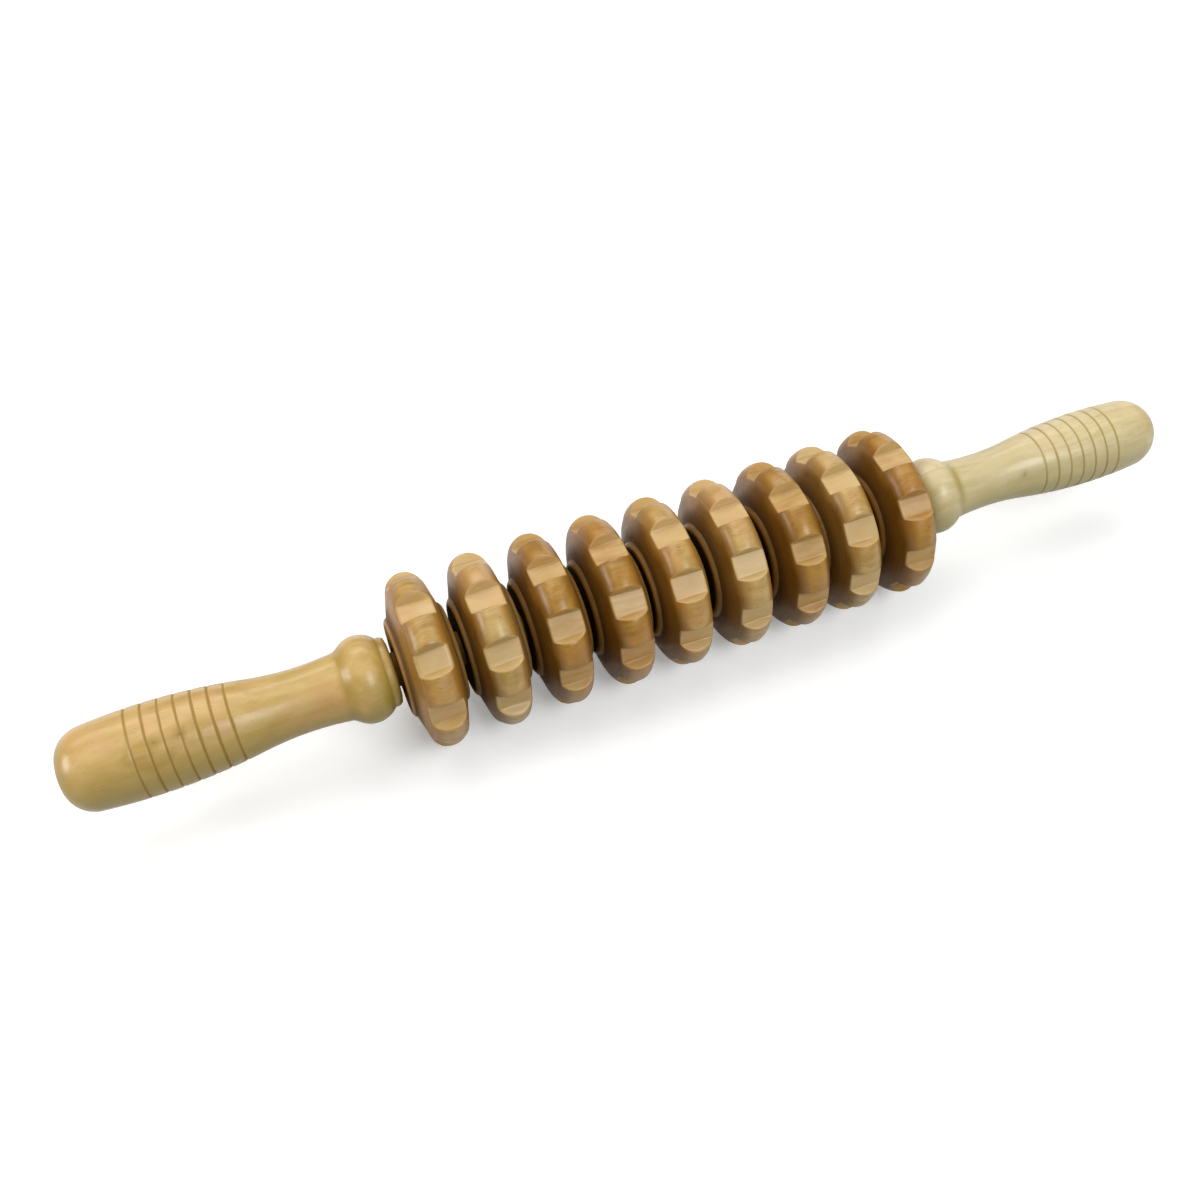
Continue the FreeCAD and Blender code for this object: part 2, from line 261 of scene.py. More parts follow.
def handle_outline(size, length):
    """Stations from the tip to the bottom of the socket, with the radius at each and no rings yet.

    The second result is the number of stations before the inner face.
    """
    run = size["neck_at"] - size["bulb_at"]
    fall = size["bulb_radius"] - size["neck_radius"]
    both_arcs = (run ** 2 + fall ** 2) / (2 * fall)
    bulb_arc = both_arcs * BULB_SHARE
    neck_arc = both_arcs - bulb_arc
    bulb_centre = size["bulb_radius"] - bulb_arc
    tip = size["tip_rounding"]
    inner_reach = bulb_arc - tip
    tip_flat = bulb_centre + math.sqrt(inner_reach ** 2 - (size["bulb_at"] - tip) ** 2)
    stretch = bulb_arc / inner_reach
    tip_end = size["bulb_at"] - (size["bulb_at"] - tip) * stretch
    change = size["bulb_at"] + run * BULB_SHARE

    half, height = BEAD_HALF_WIDTH, BEAD_HEIGHT
    bead_arc = (half ** 2 + height ** 2) / (2 * height)
    foot = size["bead_at"] - half
    neck_centre = size["neck_radius"] + neck_arc
    foot_radius = neck_centre - math.sqrt(neck_arc ** 2 - (foot - size["neck_at"]) ** 2)
    bead_centre = foot_radius + height - bead_arc
    groove = size["bead_at"] + half

    # the small ring beside the inner face is an arc from the bead's far foot to the face
    chord = Vector((length - groove, size["end_radius"] - foot_radius))
    side = Vector((chord.y, -chord.x)).normalized()
    reach = math.sqrt(END_ROUNDING ** 2 - chord.length_squared / 4)
    ring_centre = Vector((groove, foot_radius)) + chord / 2 + side * reach

    def body_radius(x):
        bulb = bulb_centre + np.sqrt(bulb_arc ** 2 - (x - size["bulb_at"]) ** 2)
        neck_drop = np.sqrt(np.maximum(neck_arc ** 2 - (x - size["neck_at"]) ** 2, 0))
        grip = np.where(x < change, bulb, neck_centre - neck_drop)
        bead = bead_centre + np.sqrt(np.maximum(bead_arc ** 2 - (x - size["bead_at"]) ** 2, 0))
        ring = ring_centre.y + np.sqrt(np.maximum(END_ROUNDING ** 2 - (x - ring_centre.x) ** 2, 0))
        before = soft_max(grip, bead, CREASE_SOFTENING)
        after = soft_max(bead, ring, CREASE_SOFTENING / 3)
        return np.where(x < size["bead_at"], before, after)

    tip_turn = math.atan2(bulb_centre + (tip_flat - bulb_centre) * stretch - tip_flat, tip_end - tip)
    rounding = arc_points((tip, tip_flat), tip, math.pi, tip_turn, TIP_ROWS)
    face = run_points((0, tip_flat * 0.12), (0, tip_flat), 5)
    fine_from = foot - 3 * MM
    stations = [
        np.arange(tip_end + 0.5 * MM, fine_from, BODY_STEP),
        np.arange(fine_from, length - 0.15 * MM, BEAD_STEP),
    ]
    for number in range(RINGS):
        middle = size["first_ring"] + size["ring_pitch"] * number
        stations.append(middle + np.linspace(-1, 1, RING_ROWS) * RING_HALF_WIDTH * RING_REACH)
    turned = np.unique(np.round(np.concatenate(stations), 6))
    turned = turned[(turned > tip_end) & (turned < length)]
    outline = face + rounding + list(zip(turned, body_radius(turned)))
    inner_face = run_points((length, size["end_radius"] - 0.3 * MM), (length, DOWEL_RADIUS), 5)
    socket = run_points((length, DOWEL_RADIUS), (length - SOCKET_DEPTH, DOWEL_RADIUS), 6)
    floor = run_points((length - SOCKET_DEPTH, DOWEL_RADIUS), (length - SOCKET_DEPTH, 0), 3)
    return np.array(outline + inner_face + socket + floor), len(outline)


def make_handle(name, towards, materials, rng):
    """Turned handle whose tip is at the outer end; towards is +1 or -1, the way to its inner face."""
    size = HANDLES[name]
    low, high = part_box(name)
    tip = low.x if towards > 0 else high.x
    outline, turned_rows = handle_outline(size, high.x - low.x)
    x = outline[:, :1]
    angle = np.linspace(0, 2 * math.pi, HANDLE_COLUMNS, endpoint=False)[None, :]
    radius = outline[:, 1:] + np.zeros_like(angle)
    shaped = np.zeros_like(radius)
    shaped[:turned_rows] = 1
    wobble = ripple(rng, angle, x, 7, 4)
    radius = radius - shaped * HAND_TURNED * (1 + wobble) * smooth_step(0, 8 * MM, radius)

    groove = np.zeros_like(radius)
    for number in range(RINGS):
        middle = size["first_ring"] + size["ring_pitch"] * number
        drift = rng.uniform(-RING_DRIFT_MM, RING_DRIFT_MM) * MM
        drift = drift * np.sin(angle + rng.uniform(0, 2 * math.pi))
        half = RING_HALF_WIDTH * rng.uniform(*RING_WIDTH_VARIES)
        share = rng.uniform(*RING_DEPTH_VARIES)
        depth = RING_DEPTH * (share + RING_UNEVENNESS * ripple(rng, angle, 0 * x, 4, 5))
        away = np.sqrt((x - middle - drift) ** 2 + GROOVE_SOFTENING ** 2) - GROOVE_SOFTENING
        cut = depth * smooth_step(0, 1, 1 - away / half / RING_FLANK)
        groove = np.maximum(groove, cut * shaped)
    radius = radius - groove
    from_bead = x - size["bead_at"]
    outer_crease_shade = np.exp(-((from_bead + BEAD_HALF_WIDTH) / OUTER_CREASE_SHADE_WIDTH) ** 2)
    inner_crease_shade = np.exp(-((from_bead - BEAD_HALF_WIDTH) / INNER_CREASE_SHADE_WIDTH) ** 2)
    crease_shade_weight = CREASE_SHADE_STRENGTH * shaped
    marks = {
        # painted shade in the ring grooves, growing with their depth
        "crevice_shade": smooth_step(0.02 * MM, 0.2 * MM, groove),
        # painted shade in the creases at the bead's feet
        "crease_shade": crease_shade_weight * outer_crease_shade + crease_shade_weight * inner_crease_shade,
        # the handles get no painted highlight
        "edge_highlight": shaped * 0,
        "cut": shaped * 0,
    }
    stations = tip + towards * x + np.zeros_like(angle)
    bare_rows = np.arange(len(outline)) >= turned_rows
    angles = angle + np.zeros_like(radius)
    piece = tube_mesh(name + "_turned", stations, radius, angles, marks, True, bare_rows)
    finish_piece(piece, materials)
    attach(piece, "grip_frame")
    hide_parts(name)


# ---------------------------------------------------------------- wheels

FLOOR_COLUMNS = 12
WALL_COLUMNS = 9
LAND_COLUMNS = 10
FLOOR_BAND = 0.95
WALL_BAND = 1.48
CROWN_ROWS = 46
EDGE_BLEND = 0.75 * MM
CREASE_BLEND = 0.16 * MM
WORN_WHEELS = (1, 2)
WORN_EDGE_BLEND = 1.5 * MM
WORN_CREASE_BLEND = 0.9 * MM
HAND_WORKED = 0.07 * MM
NOTCH_TURN_DEG = 0.45
NOTCH_TILT_DEG = 1.8
NOTCH_DEPTH_VARIES_MM = (-0.25, 0.3)
NOTCH_WIDTH_VARIES_MM = (-0.25, 0.25)
NOTCH_SLOPE = 0.03
NOTCH_SKEW = 0.05
# width of the painted shade along each notch's crease
CORNER_SHADE_WIDTH = 0.35 * MM
FARTHEST_AWAY = 1.2
LEAST_FACING = 0.02
NO_CUT = 1.0
# strength of the painted shade in the valleys beside the hub
VALLEY_SHADE = 0.85


def wheel_outline(half_width):
    """Closed section of a wheel as (x, radius), round from the bore over the rim and back."""
    crown_centre = WHEEL_RADIUS - CROWN_RADIUS
    shoulder_x = CROWN_RADIUS * math.cos(FLANK_LEAN)
    shoulder_r = crown_centre + CROWN_RADIUS * math.sin(FLANK_LEAN)
    foot_x = shoulder_x + (shoulder_r - HUB_RADIUS) * math.tan(FLANK_LEAN)
    fillet_run = HUB_FILLET * math.tan((math.pi / 2 - FLANK_LEAN) / 2)
    fillet_top = (
        foot_x - fillet_run * math.sin(FLANK_LEAN), HUB_RADIUS + fillet_run * math.cos(FLANK_LEAN)
    )
    fillet_centre = (foot_x + fillet_run, HUB_RADIUS + HUB_FILLET)
    edge_start = (half_width - HUB_EDGE_WIDTH, HUB_RADIUS)
    face_edge = (half_width, HUB_RADIUS - HUB_EDGE_DROP)
    edge_radius = (HUB_EDGE_WIDTH ** 2 + HUB_EDGE_DROP ** 2) / (2 * HUB_EDGE_WIDTH)
    # rows: half the crown, the flank, the fillet at its foot, the hub's edge, the hub's face
    right = arc_points((0, crown_centre), CROWN_RADIUS, math.pi / 2, FLANK_LEAN, CROWN_ROWS // 2)
    right += run_points((shoulder_x, shoulder_r), fillet_top, 9)[1:]
    right += arc_points(fillet_centre, HUB_FILLET, math.pi + FLANK_LEAN, 1.5 * math.pi, 5)
    right += bowed_points(edge_start, face_edge, edge_radius, 9)
    right += run_points(face_edge, (half_width, WHEEL_BORE), 6)[1:]
    right += [(half_width, WHEEL_BORE)]
    right = np.array(right)
    left = right[:0:-1] * (-1, 1)
    bore = np.array(run_points((half_width, WHEEL_BORE), (-half_width, WHEEL_BORE), 5)[1:])
    return np.concatenate([left, right, bore])


def notch_phase(node):
    """Angle of a notch's middle round X, read from the wheel's own crown points."""
    mesh = frame["nodes"][node].data
    points = np.empty(len(mesh.vertices) * 3)
    mesh.vertices.foreach_get("co", points)
    points = points.reshape(-1, 3)
    radius = np.hypot(points[:, 1], points[:, 2])
    floor = WHEEL_RADIUS - NOTCH_DEPTH
    corner = math.hypot(floor, NOTCH_HALF_FLOOR)
    near_corner = np.abs(radius - corner) < 0.02 * MM
    angles = np.arctan2(points[near_corner, 2], points[near_corner, 1])
    return float(np.angle(np.exp(1j * NOTCHES * angles).sum())) / NOTCHES


def column_angles(phase):
    """Angles of the columns, crowded where the notch walls are."""
    pitch = 2 * math.pi / NOTCHES
    floor_edge = math.atan2(NOTCH_HALF_FLOOR, WHEEL_RADIUS - NOTCH_DEPTH) * FLOOR_BAND
    wall_top = floor_edge * WALL_BAND
    half = np.concatenate([
        np.linspace(0, floor_edge, FLOOR_COLUMNS // 2, endpoint=False),
        np.linspace(floor_edge, wall_top, WALL_COLUMNS, endpoint=False),
        np.linspace(wall_top, pitch / 2, LAND_COLUMNS // 2, endpoint=False),
    ])
    one_pitch = np.concatenate([-half[:0:-1], half, [pitch / 2]])
    return np.concatenate([phase + pitch * number + one_pitch for number in range(NOTCHES)])


def notch_cutter(x, away, crease_blend, rng):
    """Radius of one notch's cutting surface, and a mark for painted shade in the crease where floor
    and walls meet.

    away is each point's angle from the notch's middle.
    """
    depth = NOTCH_DEPTH + rng.uniform(*NOTCH_DEPTH_VARIES_MM) * MM
    half_floor = NOTCH_HALF_FLOOR + rng.uniform(*NOTCH_WIDTH_VARIES_MM) * MM
    tilt = math.radians(rng.uniform(-NOTCH_TILT_DEG, NOTCH_TILT_DEG))
    slope = rng.uniform(-NOTCH_SLOPE, NOTCH_SLOPE)
    turn = np.clip(away - tilt, -FARTHEST_AWAY, FARTHEST_AWAY)
    floor = (WHEEL_RADIUS - depth + slope * x) / np.cos(turn)
    walls = []
    for side in (-1, 1):
        skew = rng.uniform(-NOTCH_SKEW, NOTCH_SKEW)
        reach = (WHEEL_RADIUS - depth) * math.sin(NOTCH_FLARE)
        reach -= (half_floor + skew * x) * math.cos(NOTCH_FLARE)
        facing = np.cos(away) * math.sin(NOTCH_FLARE)
        facing = facing - side * np.sin(away) * math.cos(NOTCH_FLARE)
        cut_radius = reach / np.maximum(facing, LEAST_FACING)
        walls.append(np.where(facing > LEAST_FACING, cut_radius, NO_CUT))
    wall = np.maximum(*walls)
    # painted shade along the crease where floor and walls meet
    corner = np.exp(-((floor - wall) / CORNER_SHADE_WIDTH) ** 2)
    return soft_max(floor, wall, crease_blend), corner


def crevice_shade_mark(number, x, radius, half_width):
    """Painted shade in the valleys beside the hub's edge and on the hub's faces."""
    edge_share = smooth_step(half_width - HUB_EDGE_WIDTH, half_width - 0.35 * MM, np.abs(x))
    valley_shade = smooth_step(-HUB_RADIUS - 6 * MM, -HUB_RADIUS, -radius) * (1 - edge_share)
    hub_face = smooth_step(half_width - 0.1 * MM, half_width, np.abs(x))
    # painted shade: the two outermost faces darken only near the bore, the others from just under the
    # hub's edge inward, as shade falls in the gaps
    open_side = {WHEELS[0]: -1, WHEELS[-1]: 1}.get(number, 0)
    open_face_shade = smooth_step(-12 * MM, -8 * MM, -radius)
    gap_face_shade = smooth_step(-HUB_RADIUS + HUB_EDGE_DROP - 0.3 * MM, -HUB_RADIUS + 3 * MM, -radius)
    return VALLEY_SHADE * valley_shade + hub_face * np.where(x * open_side > 0, open_face_shade, gap_face_shade)


def make_wheel(number, materials, rng):
    """Notched wheel, bored for the dowel, on its own body."""
    name = "wheel_%d" % number
    worn = number in WORN_WHEELS
    edge_blend = WORN_EDGE_BLEND if worn else EDGE_BLEND
    crease_blend = WORN_CREASE_BLEND if worn else CREASE_BLEND
    low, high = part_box(name)
    centre = (low.x + high.x) / 2
    half_width = (high.x - low.x) / 2
    outline = wheel_outline(half_width)
    phase = notch_phase(name)
    angle = column_angles(phase)[None, :]
    x = outline[:, :1] + np.zeros_like(angle)
    profile = outline[:, 1:] + np.zeros_like(angle)
    angle = angle + np.zeros_like(x)
    outer = smooth_step(HUB_RADIUS + 2 * MM, WHEEL_RADIUS - 4 * MM, profile)
    profile = profile - outer * HAND_WORKED * np.maximum(0, 1 + ripple(rng, angle, x * 0, 6, 7))

    pitch = 2 * math.pi / NOTCHES
    surface = np.full_like(profile, NO_CUT)
    crease_shade = np.zeros_like(profile)
    for notch in range(NOTCHES):
        turn = math.radians(rng.uniform(-NOTCH_TURN_DEG, NOTCH_TURN_DEG))
        middle = phase + pitch * notch + turn
        away = (angle - middle + math.pi) % (2 * math.pi) - math.pi
        cutter, corner = notch_cutter(x, away, crease_blend, rng)
        near = np.abs(away) < pitch / 2 + 0.01
        surface = np.where(near, np.minimum(surface, cutter), surface)
        crease_shade = np.where(near, np.maximum(crease_shade, corner), crease_shade)
    notched = outer > 0.01
    radius = np.where(notched, soft_min(profile, surface, edge_blend), profile)
    depth_below = profile - surface
    cut = np.where(notched, smooth_step(-0.05 * MM, 0.2 * MM, depth_below), 0)
    # painted highlight: a lighter line along the notch edges
    edge_highlight = np.where(notched, np.exp(-((depth_below + 0.05 * MM) / (0.3 * MM)) ** 2), 0)
    marks = {
        # painted shade in the valleys and on the hub's faces
        "crevice_shade": crevice_shade_mark(number, x, radius, half_width),
        "crease_shade": crease_shade * cut,
        "edge_highlight": edge_highlight,
        "cut": cut,
    }
    bare_rows = outline[:, 1] < HUB_RADIUS - HUB_EDGE_DROP + 0.001 * MM
    piece = tube_mesh(name + "_turned", x + centre, radius, angle, marks, False, bare_rows)
    finish_piece(piece, materials)
    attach(piece, name + "_body")
    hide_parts(name)


# ---------------------------------------------------------------- materials


class Shader:
    """Builds the node tree of one material or world."""

    def __init__(self, owner):
        self.owner = owner
        owner.use_nodes = True
        self.tree = owner.node_tree
        self.tree.nodes.clear()

    def node(self, kind, inputs=(), **settings):
        node = self.tree.nodes.new(kind)
        for key, value in settings.items():
            setattr(node, key, value)
        for key, value in dict(inputs).items():
            self.feed(node.inputs[key], value)
        return node

    def feed(self, socket, value):
        if isinstance(value, bpy.types.NodeSocket):
            self.tree.links.new(value, socket)
        else:
            socket.default_value = value

    def maths(self, operation, first, second=0.0):
        node = self.node("ShaderNodeMath", operation=operation)
        self.feed(node.inputs[0], first)
        self.feed(node.inputs[1], second)
        return node.outputs[0]

    def scaled(self, value, factor):
        return self.maths("MULTIPLY", value, factor)

    def centred(self, pattern, factor):
        """A pattern between 0 and 1, moved to lie round 0 and scaled."""
        return self.scaled(self.maths("SUBTRACT", pattern, 0.5), factor)

    def total(self, first, *others):
        for other in others:
            first = self.maths("ADD", first, other)
        return first

    def vector_maths(self, operation, first, second=(0.0, 0.0, 0.0)):
        node = self.node("ShaderNodeVectorMath", operation=operation)
        self.feed(node.inputs[0], first)
        self.feed(node.inputs[1], second)
        return node.outputs["Vector" if operation == "ADD" else "Value"]

    def mix(self, factor, first, second):
        node = self.node("ShaderNodeMix", data_type="RGBA", clamp_factor=True)
        self.feed(node.inputs[0], factor)
        self.feed(node.inputs[6], first)
        self.feed(node.inputs[7], second)
        return node.outputs[2]

    def step(self, value, low, high, to_low=0.0, to_high=1.0):
        """Smooth change from one value to another between low and high."""
        return self.map_range(value, low, high, to_low, to_high, "SMOOTHSTEP")

    def map_range(self, value, low, high, to_low, to_high, shape="LINEAR"):
        inputs = {
            "Value": value, "From Min": low, "From Max": high, "To Min": to_low, "To Max": to_high,
        }
        return self.node("ShaderNodeMapRange", inputs, interpolation_type=shape).outputs[0]

    def noise(self, vector, scale, detail=3.0, roughness=0.5, distortion=0.0):
        inputs = {
            "Vector": vector, "Scale": scale, "Detail": detail, "Roughness": roughness,
            "Distortion": distortion,
        }
        return self.node("ShaderNodeTexNoise", inputs).outputs["Fac"]

    def vector(self, x, y, z):
        return self.node("ShaderNodeCombineXYZ", {"X": x, "Y": y, "Z": z}).outputs[0]

    def parts(self, vector):
        return self.node("ShaderNodeSeparateXYZ", {"Vector": vector}).outputs

    def bump(self, height, strength, distance, under=None):
        """Relief on top of the relief under it."""
        inputs = {"Strength": strength, "Distance": distance, "Height": height}
        if under is not None:
            inputs["Normal"] = under
        return self.node("ShaderNodeBump", inputs).outputs[0]

    def mark(self, name):
        return self.node("ShaderNodeAttribute", attribute_name=name).outputs["Fac"]

    def finish(self, surface, output="ShaderNodeOutputMaterial"):
        """Connect the last shader to the output, and hand over the material or world."""
        self.feed(self.node(output).inputs["Surface"], surface.outputs[0])
        return self.owner


def colour(red, green, blue):
    return (red, green, blue, 1.0)


PITH_DISTANCE = 52 * MM
PITH_SKEW = 0.05
RING_SWAY = 0.011
TURNING_PITCH = 1600.0
KNOT = colour(0.17, 0.080, 0.018)
VARNISHED = {"coat": 0.55, "specular": 0.3, "smoothest": 0.36, "roughest": 0.5}
BARE = {"coat": 0.0, "specular": 0.08, "smoothest": 0.75, "roughest": 0.9}

# how much each pattern darkens the wood
RING_SHARE = 0.6
FIBRE_SHARE = 0.9
CLOUD_SHARE = 1.7
PATCH_SHARE = 0.35
MOTTLING_SHARE = 1.3

# how strongly a tone is laid over the wood
BLUSH_SHARE = 0.65
PORE_SHARE = 0.35
FRESH_DARK_SHARE = 0.85
FRESH_BLUSH_SHARE = 0.35
CUT_SHARE = 0.85
# painted highlight along notch edges
EDGE_HIGHLIGHT_SHARE = 0.3
# painted shade in creases
CREASE_SHADE_SHARE = 0.5
# painted shade in crevices
CREVICE_SHADE_SHARE = 0.9


def add_knots(shader, body, place, knots, tones):
    """Darken the wood round each knot, given as a place on the surface and a strength."""
    for spot, strength in knots:
        away = shader.vector_maths("DISTANCE", place, spot)
        swirl = shader.scaled(shader.noise(place, 420.0, 2.0), 2.4 * MM)
        distance = shader.total(away, swirl)
        halo = shader.step(distance, 1.4 * MM, 4.6 * MM, 0.8 * strength, 0.0)
        core = shader.step(distance, 1.0 * MM, 2.3 * MM, 0.9 * strength, 0.0)
        body = shader.mix(halo, body, tones["deep"])
        body = shader.mix(core, body, KNOT)
    return body


def growth_rings(shader, place, moved, ring_width, rng):
    """Rings round a pith that lies beside the piece, slightly askew."""
    bearing = rng.uniform(0, 2 * math.pi)
    x, y, z = shader.parts(place)
    askew = shader.scaled(x, rng.uniform(-PITH_SKEW, PITH_SKEW))
    pith_y = shader.total(askew, PITH_DISTANCE * math.cos(bearing))
    away_y = shader.total(y, pith_y)
    away_z = shader.total(z, PITH_DISTANCE * math.sin(bearing))
    squared = shader.total(shader.maths("POWER", away_y, 2.0), shader.maths("POWER", away_z, 2.0))
    sway = shader.scaled(shader.noise(moved, 28.0, 2.0), RING_SWAY)
    distance = shader.total(shader.maths("SQRT", squared), sway)
    across_rings = shader.maths("DIVIDE", distance, ring_width)
    ring_place = shader.vector(shader.scaled(shader.parts(moved)[0], 5.0), across_rings, 0.0)
    return shader.step(shader.noise(ring_place, 1.0, 4.0, 0.55), 0.38, 0.66)


def wood(name, tones, rng, finish, ring_width, knots=()):
    """Turned wood whose fibres run along X.

    tones holds linear colours: light and dark for the growth rings, blush for warmer patches, end
    for end grain and for painted shade in creases, cut for freshly cut faces and for a painted
    highlight along notch edges, and deep for pores, end-grain streaks, knot halos and painted shade
    in crevices. An optional tone, under, is painted shade: it darkens the lower side of the piece.
    """
    shader = Shader(bpy.data.materials.new(name))
    coordinates = shader.node("ShaderNodeTexCoord").outputs
    place = coordinates["Object"]
    offset = Vector([rng.uniform(-1, 1) for _ in range(3)])
    moved = shader.vector_maths("ADD", place, offset)
    rings = growth_rings(shader, place, moved, ring_width, rng)
    true_y, true_z = shader.parts(place)[1:]
    x, y, z = shader.parts(moved)

    def stretched(along, across):
        return shader.vector(
            shader.scaled(x, along), shader.scaled(y, across), shader.scaled(z, across)
        )

    # fibres, pores, and cloudy, streaky and warmer patches
    fibres = shader.noise(stretched(45.0, 900.0), 1.0, 4.0, 0.6)
    clouds = shader.noise(stretched(0.45, 1.0), 75.0, 3.0, 0.55, 0.3)
    patches = shader.step(shader.noise(stretched(0.6, 1.0), 130.0, 3.0, 0.6, 0.6), 0.4, 0.66)
    mottling = shader.noise(stretched(0.4, 1.0), 330.0, 3.0, 0.6)
    blush = shader.step(shader.noise(moved, 48.0, 3.0, 0.55, 0.4), 0.42, 0.68)
    pores = shader.step(shader.noise(stretched(260.0, 2300.0), 1.0, 1.0), 0.66, 0.74)

    # turning marks run round the axle
    off_axis = shader.vector_maths("LENGTH", shader.vector(0.0, true_y, true_z))
    turning_place = shader.vector(
        shader.scaled(x, TURNING_PITCH), shader.scaled(off_axis, TURNING_PITCH), 0.0
    )
    turning = shader.noise(turning_place, 1.0, 2.0, 0.5)

    # marks that the mesh carries: notch floors, painted shade in grooves, valleys, gaps and creases,
    # and a painted highlight along notch edges
    cut = shader.mark("cut")
    crevice_shade = shader.mark("crevice_shade")
    crease_shade = shader.mark("crease_shade")
    edge_highlight = shader.mark("edge_highlight")
    sideways = shader.step(
        shader.maths("ABSOLUTE", shader.parts(coordinates["Normal"])[0]), 0.3, 0.85
    )

    darkness = shader.total(
        shader.scaled(rings, RING_SHARE),
        shader.centred(fibres, FIBRE_SHARE),
        shader.centred(clouds, CLOUD_SHARE),
        shader.scaled(patches, PATCH_SHARE),
        shader.centred(mottling, MOTTLING_SHARE),
    )
    long_grain = shader.mix(darkness, tones["light"], tones["dark"])
    long_grain = shader.mix(shader.scaled(blush, BLUSH_SHARE), long_grain, tones["blush"])
    end_streaks = shader.maths(
        "MULTIPLY", shader.step(turning, 0.3, 0.75), shader.step(clouds, 0.3, 0.7, 0.1, 0.6)
    )
    end_grain = shader.mix(end_streaks, tones["end"], tones["deep"])
    end_share = shader.maths("MULTIPLY", sideways, shader.step(clouds, 0.2, 0.8, 1.0, 0.7))
    fresh = shader.mix(shader.scaled(darkness, FRESH_DARK_SHARE), tones["cut"], tones["light"])
    fresh = shader.mix(shader.scaled(blush, FRESH_BLUSH_SHARE), fresh, tones["blush"])

    body = shader.mix(end_share, long_grain, end_grain)
    body = shader.mix(shader.scaled(pores, PORE_SHARE), body, tones["deep"])
    body = shader.mix(shader.scaled(cut, CUT_SHARE), body, fresh)
    # painted highlight along the notch edges, in the cut tone
    body = shader.mix(shader.scaled(edge_highlight, EDGE_HIGHLIGHT_SHARE), body, tones["cut"])
    # painted shade in creases, towards the end tone
    body = shader.mix(shader.scaled(crease_shade, CREASE_SHADE_SHARE), body, tones["end"])
    # painted shade: the lower side of each handle is darker and more olive
    if "under" in tones:
        height = shader.total(shader.scaled(true_z, 40.0), clouds)
        shade_below = shader.step(height, 0.45, 0.98, 0.8, 0.0)
        body = shader.mix(shade_below, body, tones["under"])
    body = add_knots(shader, body, place, knots, tones)
    # painted shade: grooves, valleys and hub faces darkened towards the deep tone
    body = shader.mix(shader.scaled(crevice_shade, CREVICE_SHADE_SHARE), body, tones["deep"])

    rough = shader.total(
        shader.step(fibres, 0.25, 0.75, finish["smoothest"], finish["roughest"]),
        shader.scaled(cut, 0.08),
        shader.scaled(crevice_shade, 0.2),
    )

    # the varnish lies over soft dents, turning marks and raised fibres
    dents = shader.bump(shader.noise(moved, 190.0, 2.0, 0.5), 0.6, 0.25 * MM)
    turned = shader.bump(turning, 0.22, 0.06 * MM, dents)
    relief = shader.bump(fibres, 0.35, 0.05 * MM, turned)
    uncoated = shader.total(crevice_shade, shader.scaled(sideways, 0.6))
    surface = shader.node("ShaderNodeBsdfPrincipled", {
        "Base Color": body, "Roughness": rough, "Normal": relief,
        "Specular IOR Level": finish["specular"],
        "Coat Weight": shader.step(uncoated, 0.0, 1.0, finish["coat"], 0.0),
        "Coat Roughness": 0.26, "Coat IOR": 1.5,
    })
    return shader.finish(surface)


WHEEL_TONES = {
    "wheel_wood_light": {
        "light": colour(0.58, 0.395, 0.145), "dark": colour(0.42, 0.255, 0.065),
        "blush": colour(0.60, 0.325, 0.125), "end": colour(0.33, 0.150, 0.015),
        "cut": colour(0.615, 0.43, 0.195), "deep": colour(0.060, 0.026, 0.006),
    },
    "wheel_wood_mid": {
        "light": colour(0.55, 0.345, 0.108), "dark": colour(0.37, 0.205, 0.042),
        "blush": colour(0.56, 0.280, 0.092), "end": colour(0.36, 0.158, 0.014),
        "cut": colour(0.59, 0.405, 0.170), "deep": colour(0.055, 0.023, 0.005),
    },
    "wheel_wood_dark": {
        "light": colour(0.45, 0.240, 0.040), "dark": colour(0.28, 0.132, 0.015),
        "blush": colour(0.46, 0.212, 0.043), "end": colour(0.255, 0.106, 0.008),
        "cut": colour(0.57, 0.375, 0.145), "deep": colour(0.050, 0.020, 0.004),
    },
}
LEFT_TONES = {
    "light": colour(0.61, 0.415, 0.145), "dark": colour(0.50, 0.315, 0.088),
    "blush": colour(0.65, 0.375, 0.160), "end": colour(0.42, 0.275, 0.055),
    "cut": colour(0.66, 0.48, 0.220), "deep": colour(0.34, 0.205, 0.045),
    # painted shade for the lower side
    "under": colour(0.37, 0.268, 0.042),
}
RIGHT_TONES = {
    "light": colour(0.70, 0.585, 0.335), "dark": colour(0.60, 0.475, 0.225),
    "blush": colour(0.72, 0.525, 0.275), "end": colour(0.42, 0.310, 0.080),
    "cut": colour(0.74, 0.61, 0.370), "deep": colour(0.41, 0.300, 0.105),
    # painted shade for the lower side
    "under": colour(0.47, 0.400, 0.165),
}
BARE_TONES = {
    "light": colour(0.33, 0.175, 0.045), "dark": colour(0.24, 0.120, 0.026),
    "blush": colour(0.32, 0.150, 0.040), "end": colour(0.27, 0.125, 0.024),
    "cut": colour(0.33, 0.180, 0.060), "deep": colour(0.012, 0.006, 0.002),
}

# ---------------------------------------------------------------- build the object


def knot_spots(name):
    """Places of a handle's knots on its surface, each with its strength."""
    low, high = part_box(name)
    spots = []
    for from_tip, radius, degrees, strength in HANDLES[name]["knots"]:
        x = low.x + from_tip if name == "left_handle" else high.x - from_tip
        bearing = math.radians(degrees)
        spots.append(((x, radius * math.cos(bearing), radius * math.sin(bearing)), strength))
    return spots


